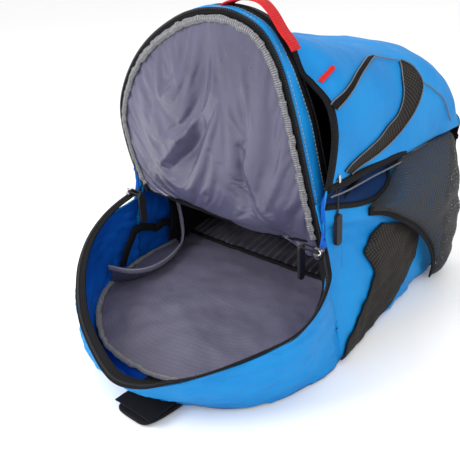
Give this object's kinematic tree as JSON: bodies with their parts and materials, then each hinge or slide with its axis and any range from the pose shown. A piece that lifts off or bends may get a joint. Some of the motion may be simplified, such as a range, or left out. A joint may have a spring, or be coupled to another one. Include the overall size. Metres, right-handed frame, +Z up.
{
  "type": "daypack",
  "caption": "Daypack lying on its back, main compartment folded wide open, with lined lid, zipped front pocket, mesh side pockets and grab loop.",
  "frame": {"origin": "underside of the centre back pad, on the ground, straight below the middle of the lid's fold line", "axes": "+X to the wearer's left side, +Y from the pack's top end to its base, +Z up, away from the wearer's back"},
  "size_m": [0.376, 0.5056, 0.376],
  "materials": {
    "fabric_blue": "ripstop nylon weave, soft sheen",
    "fabric_black": "dense woven polyester",
    "lining_grey": "smooth satin lining",
    "binding_grey": "ribbed seam binding",
    "piping_grey": "corded seam piping",
    "mesh_black": "spacer mesh",
    "net_grey": "fine stretch net",
    "webbing_black": "woven webbing",
    "webbing_red": "woven webbing",
    "zip_black": "woven zip tape with coil teeth",
    "metal_silver": "satin nickel",
    "rubber_black": "moulded, matte",
    "plastic_black": "moulded, matte",
    "foam_black": "padded air mesh"
  },
  "bodies": {
    "pack": {"back_pad_centre": "foam_black", "back_pad_left": "foam_black", "back_pad_right": "foam_black", "back_panel": "lining_grey", "base_panel": "fabric_black", "body_shell": "fabric_blue", "front_band_left": "webbing_black", "front_band_right": "webbing_black", "front_mesh_left": "mesh_black", "front_mesh_right": "mesh_black", "front_pocket_panel": "fabric_blue", "front_zip_tape_left": "zip_black", "front_zip_tape_right": "zip_black", "inner_sleeve": "lining_grey", "main_zip_tape_body": "zip_black", "net_binding_left": "webbing_black", "net_binding_right": "webbing_black", "organiser_pocket": "lining_grey", "organiser_trim": "binding_grey", "pocket_divider": "lining_grey", "rim_binding": "binding_grey", "seam_piping_left": "piping_grey", "seam_piping_right": "piping_grey", "side_mesh_left": "mesh_black", "side_mesh_right": "mesh_black", "side_net_left": "net_grey", "side_net_right": "net_grey", "sleeve_hem": "webbing_black", "strap_tab_left": "fabric_black", "strap_tab_right": "fabric_black", "strap_webbing_left": "webbing_black", "strap_webbing_right": "webbing_black"},
    "lid": {"lid_lining": "lining_grey", "lid_gusset": "fabric_blue", "main_zip_tape_lid": "zip_black", "lid_binding": "binding_grey", "front_zip_tape_lid": "zip_black"},
    "front_flap": {"front_pocket_flap": "fabric_blue", "front_zip_tape_flap": "zip_black"},
    "grab_loop": {"grab_loop": "webbing_red"},
    "front_slider": {"front_slider": "metal_silver"},
    "front_pull": {"front_pull": "rubber_black"},
    "main_slider_left": {"main_slider_left": "metal_silver"},
    "main_pull_left": {"main_pull_left": "rubber_black"},
    "strap_left": {"shoulder_strap_left": "fabric_black", "ladder_lock_left": "plastic_black"},
    "main_slider_right": {"main_slider_right": "metal_silver"},
    "main_pull_right": {"main_pull_right": "rubber_black"},
    "strap_right": {"shoulder_strap_right": "fabric_black", "ladder_lock_right": "plastic_black"}
  },
  "joints": [
    {"name": "lid_fold", "type": "hinge", "parent": "pack", "child": "lid", "pos_m": [0, 0, 0.128], "axis": [1, 0, 0], "range_deg": [-5, 104]},
    {"name": "front_flap_fold", "type": "hinge", "parent": "pack", "child": "front_flap", "pos_m": [0, 0.2, 0.005], "axis": [1, 0, 0], "range_deg": [-3, 52]},
    {"name": "main_slider_left_slide", "type": "slide", "parent": "pack", "child": "main_slider_left", "axis": [0, -0.9367, -0.3502], "range_m": [0, 0.04]},
    {"name": "main_pull_left_swing", "type": "hinge", "parent": "main_slider_left", "child": "main_pull_left", "pos_m": [0.1475, -0.01376, 0.13054], "axis": [0, 0.9367, 0.3502], "range_deg": [0, 120]},
    {"name": "main_slider_right_slide", "type": "slide", "parent": "pack", "child": "main_slider_right", "axis": [0, -0.9367, -0.3502], "range_m": [0, 0.04]},
    {"name": "main_pull_right_swing", "type": "hinge", "parent": "main_slider_right", "child": "main_pull_right", "pos_m": [-0.1475, -0.01376, 0.13054], "axis": [0, -0.9367, -0.3502], "range_deg": [0, 120]},
    {"name": "front_slider_slide", "type": "slide", "parent": "lid", "child": "front_slider", "axis": [0, -0.1045, 0.9945], "range_m": [0, 0.04]},
    {"name": "front_pull_swing", "type": "hinge", "parent": "front_slider", "child": "front_pull", "pos_m": [0.15, 0.01467, 0.19892], "axis": [0, -1, 0], "range_deg": [0, 150]},
    {"name": "grab_loop_swing", "type": "hinge", "parent": "lid", "child": "grab_loop", "pos_m": [0.035, -0.01069, 0.35412], "axis": [0.8151, 0.0605, -0.5761], "range_deg": [-18, 18]},
    {"name": "shoulder_strap_left_swing", "type": "hinge", "parent": "pack", "child": "strap_left", "pos_m": [0.064, -0.207, 0.0092], "axis": [-1, 0, 0], "range_deg": [0, 12]},
    {"name": "shoulder_strap_right_swing", "type": "hinge", "parent": "pack", "child": "strap_right", "pos_m": [-0.064, -0.116, 0.0092], "axis": [-1, 0, 0], "range_deg": [0, 12]}
  ],
  "couplings": [
    {"joint": "front_flap_fold", "follows": "lid_fold", "ratio": 0.45}
  ]
}
